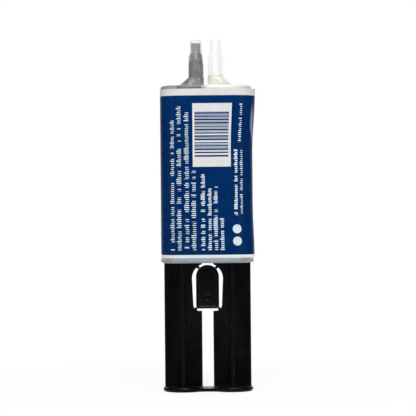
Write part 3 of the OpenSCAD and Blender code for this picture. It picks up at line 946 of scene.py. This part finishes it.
class SYRINGE_OT_plunger(bpy.types.Operator):
    """Rounds the edges of the plunger and of its stopper and finishes both in black plastic"""

    bl_idname = "syringe.plunger"
    bl_label = "Finish the plunger"

    def execute(self, context):
        look = context.scene.syringe_plastic
        sharp = math.radians(40)
        plunger = welded_copy("plunger", "twin_rod_plunger")
        self.fillet_feet(plunger, look)
        stopper = welded_copy("reseal_stopper", "snap_off_stopper")
        self.recess_front(stopper, look)
        for piece, body, node, gloss in (
            (plunger, "plunger", "plunger", look.black_gloss),
            (stopper, "stopper", "reseal_stopper", look.stopper_gloss),
        ):
            smoothed(piece)
            with_modifier(
                piece, "BEVEL", width=look.edge, segments=2, limit_method="ANGLE", angle_limit=sharp,
                use_clamp_overlap=True)
            paint(piece, black_moulding(look, f"{body}_moulding", gloss))
            smoothed(piece)
            stand_in(piece, body, "black_plastic", node)
        return {"FINISHED"}

    def fillet_feet(self, piece, look):
        """Rounds the hollow corners where the rods stand on the thumb plate."""
        upright, level = 0.1, 0.5
        walls, tops = set(), set()
        for face in piece.data.polygons:
            if abs(face.normal.z) < upright:
                walls.update(face.edge_keys)
            if face.normal.z > level:
                tops.update(face.edge_keys)
        low, high = PLATE_T - look.foot, PLATE_T + look.edge
        heights = [vertex.co.z for vertex in piece.data.vertices]
        feet = {key for key in walls & tops if all(low < heights[number] < high for number in key)}
        choose(piece, "EDGE", lambda edge: edge.key in feet)
        bpy.ops.mesh.bevel(offset=look.foot, segments=4, affect="EDGES", clamp_overlap=True)
        bpy.ops.object.mode_set(mode="OBJECT")

    def recess_front(self, piece, look):
        """Sinks the stopper's flat front and dimple, so that a fine line runs inside its rounded edge."""
        faces_front, slopes_in = -0.99, -0.9
        dimple, slope = 4 * MM, 0.3 * MM
        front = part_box("reseal_stopper")[0].y
        flat = [face.index for face in piece.data.polygons
                if face.normal.y < faces_front and face.center.y < front + look.recess / 4]
        heights = [piece.data.vertices[number].co.z for index in flat
                   for number in piece.data.polygons[index].vertices]
        low, high = min(heights), max(heights)

        def sinks(face):
            hollow = abs(face.center.x) < dimple / 2 and low < face.center.z < high
            return face.index in flat or (hollow and face.normal.y < slopes_in and face.center.y < 0)

        choose(piece, "FACE", lambda face: face.index in flat)
        bpy.ops.mesh.region_to_loop()
        bpy.ops.mesh.mark_sharp()
        choose(piece, "FACE", sinks)
        bpy.ops.mesh.inset(thickness=slope)
        bpy.ops.transform.translate(value=(0, look.recess, 0))
        bpy.ops.mesh.region_to_loop()
        bpy.ops.mesh.mark_sharp()
        bpy.ops.object.mode_set(mode="OBJECT")


class SYRINGE_OT_pistons(bpy.types.Operator):
    """Finishes the pistons in white plastic and their rings in rubber"""

    bl_idname = "syringe.pistons"
    bl_label = "Finish the pistons"

    def execute(self, context):
        look = context.scene.syringe_plastic
        white, rubber = white_moulding(look), seal_rubber(look)
        for side in ("left", "right"):
            paint(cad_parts[f"{side}_piston"], white)
            paint(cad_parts[f"{side}_seal_ring"], rubber)
        return {"FINISHED"}


class SYRINGE_OT_stage(bpy.types.Operator):
    """Sets the camera, the soft boxes, a pale floor and a white surround"""

    bl_idname = "syringe.stage"
    bl_label = "Set the stage"

    def execute(self, context):
        look = context.scene.syringe_stage
        context.scene.view_settings.view_transform = "Standard"
        self.camera(context, look)
        self.surround(context, look)
        self.lay_floor(look)
        middle = Vector((0, 0, look.eye_height))
        for name, (place, size) in SOFT_BOXES.items():
            self.soft_box(f"{name}_soft_box", place, size, getattr(look, f"{name}_power"), middle)
        return {"FINISHED"}

    def camera(self, context, look):
        near_share, far_share = 0.01, 20
        bpy.ops.object.camera_add(
            location=(look.eye_side, -look.distance, look.eye_height), rotation=(math.pi / 2, look.lean, 0))
        camera = context.object
        camera.name = "picture_camera"
        camera.data.lens = camera.data.sensor_width * look.distance / look.picture
        camera.data.clip_start = look.distance * near_share
        camera.data.clip_end = look.distance * far_share
        context.scene.camera = camera

    def soft_box(self, name, place, size, power, middle):
        aim = (middle - Vector(place)).to_track_quat("-Z", "Y").to_euler()
        bpy.ops.object.light_add(type="AREA", location=place, rotation=aim)
        lamp = bpy.context.object
        lamp.name = name
        lamp.data.shape = "RECTANGLE"
        lamp.data.size, lamp.data.size_y = size
        lamp.data.energy = power

    def seen(self, root):
        """One for rays that show the background straight or through plastic, then one for mirrored rays."""
        path = root.node("ShaderNodeLightPath", output="Is Camera Ray")
        direct = path.either(path.beside("Is Transmission Ray"))
        return direct, path.beside("Is Glossy Ray") * (1 - direct)

    def surround(self, context, look):
        """White where it is seen, with a dim side behind the camera in reflections."""
        world = bpy.data.worlds.new("white_surround")
        world.use_nodes = True
        context.scene.world = world
        shader = world.node_tree.nodes["Background"]
        shader.inputs["Color"].default_value = (*WHITE, 1.0)
        root = Wire(world.node_tree)
        direct, mirrored = self.seen(root)
        facing = root.node("ShaderNodeTexCoord", output="Generated")
        depth = root.node("ShaderNodeSeparateXYZ", None, {0: facing}, output="Y")
        gloss = look.front_gloss + depth.rise(0.5, 0.95) * (1 - look.front_gloss)
        (look.ambient * (1 - direct - mirrored) + direct + mirrored * gloss).feed(shader, "Strength")

    def lay_floor(self, look):
        """A pale floor that shows as white away from the object and keeps its shadow near it."""
        dust_share = 0.2
        bpy.ops.mesh.primitive_plane_add(size=look.floor_size)
        floor = made_piece("studio_floor")
        material, shader, root = new_finish("pale_floor", Roughness=0.9, Specular_IOR_Level=0.0)
        where = place_of(root)
        dust = cloud(root, where, size=30)
        mixed(dust * dust_share, look.floor, WHITE).feed(shader, "Base Color")
        direct = self.seen(root)[0]
        glow = root.node("ShaderNodeEmission", None, {"Strength": 1.0})
        away = root.node("ShaderNodeVectorMath", {"operation": "LENGTH"}, {0: where}, output="Value")
        far = away.rise(look.shadow_reach / MM / 3, look.shadow_reach / MM)
        share = direct * (look.floor_white + far * (1 - look.floor_white))
        overlaid(material, shader, share, glow)
        paint(floor, material)


class SYRINGE_PT_finish(bpy.types.Panel):
    """Lists the syringe's steps and settings"""

    bl_idname = "SYRINGE_PT_finish"
    bl_label = "Twin syringe"
    bl_space_type = "VIEW_3D"
    bl_region_type = "UI"
    bl_category = "Syringe"

    def draw(self, context):
        for step in STEPS:
            self.layout.operator(step.bl_idname)
        for group in GROUPS:
            settings = getattr(context.scene, group)
            box = self.layout.box()
            for name in settings.__annotations__:
                box.prop(settings, name)


GROUPS = {
    "syringe_label": LabelLook,
    "syringe_plastic": PlasticLook,
    "syringe_liquids": LiquidLook,
    "syringe_stage": StageLook,
}
STEPS = (
    SYRINGE_OT_stage,
    SYRINGE_OT_barrel,
    SYRINGE_OT_label,
    SYRINGE_OT_liquids,
    SYRINGE_OT_plunger,
    SYRINGE_OT_pistons,
)


def register():
    for made in (*GROUPS.values(), *STEPS, SYRINGE_PT_finish):
        bpy.utils.register_class(made)
    for name, group in GROUPS.items():
        setattr(bpy.types.Scene, name, bpy.props.PointerProperty(type=group))


def unregister():
    for name in GROUPS:
        delattr(bpy.types.Scene, name)
    for made in (SYRINGE_PT_finish, *reversed(STEPS), *reversed(GROUPS.values())):
        bpy.utils.unregister_class(made)


def main():
    register()
    bpy.ops.syringe.stage()
    bpy.ops.syringe.barrel()
    bpy.ops.syringe.label()
    bpy.ops.syringe.liquids()
    bpy.ops.syringe.plunger()
    bpy.ops.syringe.pistons()


if __name__ == "__main__":
    main()
